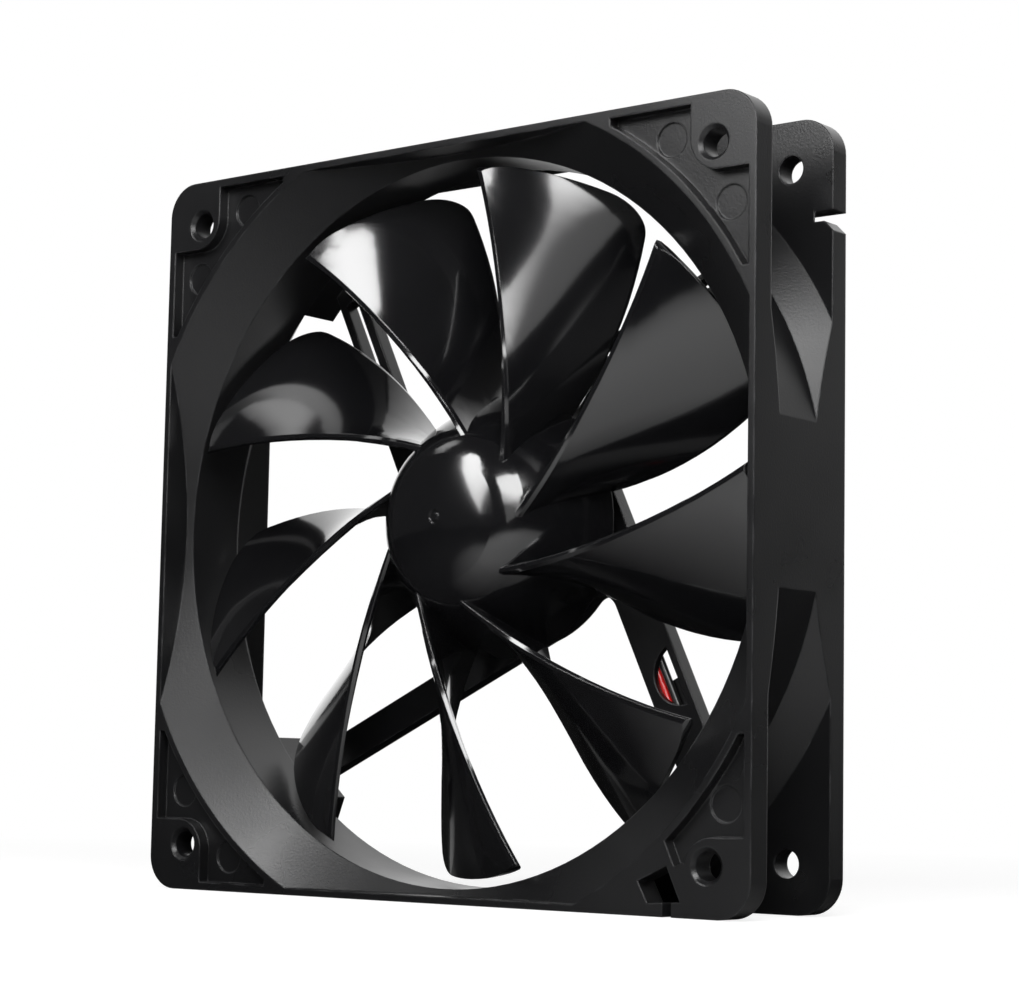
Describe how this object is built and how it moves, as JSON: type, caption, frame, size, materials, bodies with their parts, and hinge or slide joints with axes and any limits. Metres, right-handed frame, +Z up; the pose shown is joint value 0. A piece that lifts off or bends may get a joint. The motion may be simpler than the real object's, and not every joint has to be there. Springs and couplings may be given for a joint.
{
  "type": "case fan",
  "caption": "Square axial case fan: flanged housing with a duct, skewed struts and motor base, and a bladed impeller on a shaft that turns in a sleeve bearing.",
  "frame": {"origin": "on the spin axis at half the frame's depth, which is the centre of the frame", "axes": "Y is the spin axis: the intake side faces -Y and the motor base +Y. Z is up and X is to the right seen from the intake side."},
  "size_m": [0.12, 0.025, 0.12],
  "materials": {
    "frame_plastic": "fine satin texture",
    "impeller_plastic": "gloss",
    "brass": "turned brass",
    "bronze": "sintered",
    "insulator_plastic": "plain",
    "core_steel": "laminated",
    "copper": "enamelled wire",
    "board": "solder mask",
    "solder": "solder",
    "chip_plastic": "moulded",
    "ceramic": "fired",
    "red_insulation": "smooth",
    "black_insulation": "smooth",
    "yoke_steel": "drawn",
    "magnet": "bonded ferrite",
    "shaft_steel": "ground"
  },
  "bodies": {
    "frame": {"frame": "frame_plastic", "bearing_tube": "brass", "sleeve_bearing": "bronze", "thrust_pad": "insulator_plastic", "oil_seal": "insulator_plastic", "stator_core": "core_steel", "upper_insulator": "insulator_plastic", "lower_insulator": "insulator_plastic", "coil_windings": "copper", "circuit_board": "board", "winding_pins": "solder", "driver_chip": "chip_plastic", "capacitor": "ceramic", "chip_resistors": "chip_plastic", "red_wire": "red_insulation", "black_wire": "black_insulation", "solder_joints": "solder"},
    "rotor": {"impeller": "impeller_plastic", "rotor_yoke": "yoke_steel", "magnet_ring": "magnet", "shaft_bush": "brass", "shaft": "shaft_steel", "retaining_clip": "insulator_plastic", "oil_slinger": "insulator_plastic"}
  },
  "joints": [
    {"name": "rotor_spin", "type": "hinge", "parent": "frame", "child": "rotor", "pos_m": [0, 0, 0], "axis": [0, 1, 0], "continuous": true}
  ]
}
